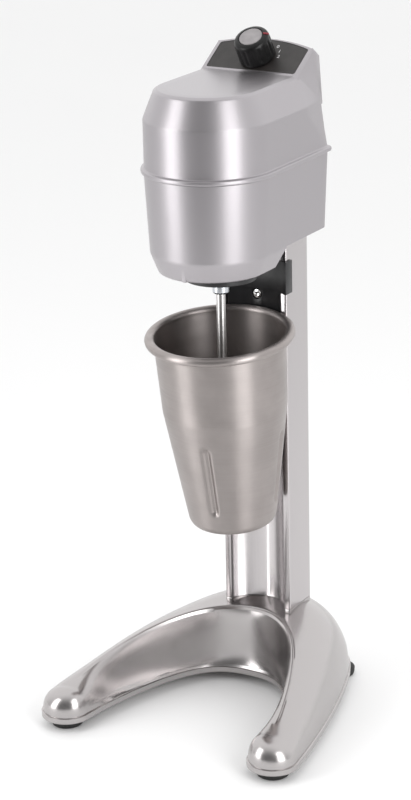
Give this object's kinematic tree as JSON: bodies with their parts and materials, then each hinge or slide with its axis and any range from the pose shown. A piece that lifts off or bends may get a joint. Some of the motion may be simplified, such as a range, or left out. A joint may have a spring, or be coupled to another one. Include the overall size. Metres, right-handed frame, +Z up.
{
  "type": "milkshake mixer",
  "caption": "Bar milkshake mixer with a horseshoe base, grooved column, round-fronted motor head, rotary switch and a steel cup hung under a spindle.",
  "frame": {"origin": "on the counter, at the centre of the base's footprint", "axes": "+Z up; +Y from the open side of the base towards the column; +X to the right of someone standing in front"},
  "size_m": [0.2092, 0.2213, 0.4936],
  "materials": {
    "polished_aluminium": "polished casting with soft reflections",
    "satin_aluminium": "satin extrusion with fine lengthwise lines",
    "silver_head": "smooth silver enamel",
    "brushed_steel": "brushed round the cup",
    "spindle_steel": "bright ground steel",
    "black_plastic": "black, fine grain",
    "knob_black": "black, ribbed",
    "knob_grey": "plain grey disc",
    "rubber": "black rubber",
    "bright_screw": "bright screw head",
    "copper": "enamelled copper",
    "lamination": "laminated steel",
    "moulded_black": "moulded black plastic",
    "carbon": "pressed carbon",
    "fan_grey": "moulded fan",
    "zinc": "zinc plated steel"
  },
  "bodies": {
    "frame": {"base_casting": "polished_aluminium", "bearing_lower": "zinc", "bearing_upper": "zinc", "bracket_screw_lower": "bright_screw", "bracket_screw_upper": "bright_screw", "brush_holder_front": "moulded_black", "brush_holder_rear": "moulded_black", "cable_gland": "black_plastic", "carbon_brush_front": "carbon", "carbon_brush_rear": "carbon", "column": "satin_aluminium", "column_bolt_left": "zinc", "column_bolt_right": "zinc", "control_panel": "black_plastic", "cup_bracket": "black_plastic", "cup_bumper": "rubber", "field_coil_lower": "copper", "field_coil_upper": "copper", "foot_front_left": "rubber", "foot_front_right": "rubber", "foot_rear_left": "rubber", "foot_rear_right": "rubber", "foot_screw_front_left": "zinc", "foot_screw_front_right": "zinc", "foot_screw_rear_left": "zinc", "foot_screw_rear_right": "zinc", "head_bolt_left": "zinc", "head_bolt_right": "zinc", "head_lower_shell": "silver_head", "head_upper_shell": "silver_head", "hook_spring": "zinc", "microswitch": "moulded_black", "motor_bolt_left": "zinc", "motor_bolt_right": "zinc", "motor_bridge": "zinc", "motor_plate": "zinc", "motor_spacer_left": "zinc", "motor_spacer_right": "zinc", "selector_nut": "zinc", "selector_switch": "moulded_black", "shell_screw_left": "zinc", "shell_screw_right": "zinc", "spindle_boss": "black_plastic", "stator_core": "lamination", "terminal_block": "moulded_black"},
    "rotor": {"rotor_core": "lamination", "commutator": "copper", "rotor_shaft": "spindle_steel", "cooling_fan": "fan_grey", "spindle_coupling": "spindle_steel", "spindle_shaft": "spindle_steel", "agitator": "spindle_steel"},
    "knob": {"knob": "knob_black", "knob_cap": "knob_grey", "selector_shaft": "zinc"},
    "hook": {"cup_hook": "black_plastic", "switch_rod": "zinc"},
    "lever": {"switch_lever": "zinc"},
    "cup": {"cup": "brushed_steel"}
  },
  "joints": [
    {"name": "rotor_spin", "type": "hinge", "parent": "frame", "child": "rotor", "pos_m": [0, -0.0041, 0.32], "axis": [0, 0, 1], "continuous": true},
    {"name": "knob_turn", "type": "hinge", "parent": "frame", "child": "knob", "pos_m": [0, 0.05364, 0.47238], "axis": [0, 0.5299, -0.848], "range_deg": [-20, 20]},
    {"name": "hook_travel", "type": "slide", "parent": "frame", "child": "hook", "axis": [0, 0, 1], "range_m": [0, 0.003], "stiffness_N_per_m": 200, "springref_m": 0.0075, "deforming": ["hook_spring"]},
    {"name": "lever_tilt", "type": "hinge", "parent": "frame", "child": "lever", "pos_m": [0.0085, 0.06704, 0.3592], "axis": [-1, 0, 0], "range_deg": [0, 11]},
    {"name": "cup_lift", "type": "slide", "parent": "hook", "child": "cup", "axis": [0, 0, 1], "range_m": [0, 0.006]}
  ],
  "couplings": [
    {"joint": "lever_tilt", "follows": "hook_travel", "rad_per_m": 62.5}
  ]
}
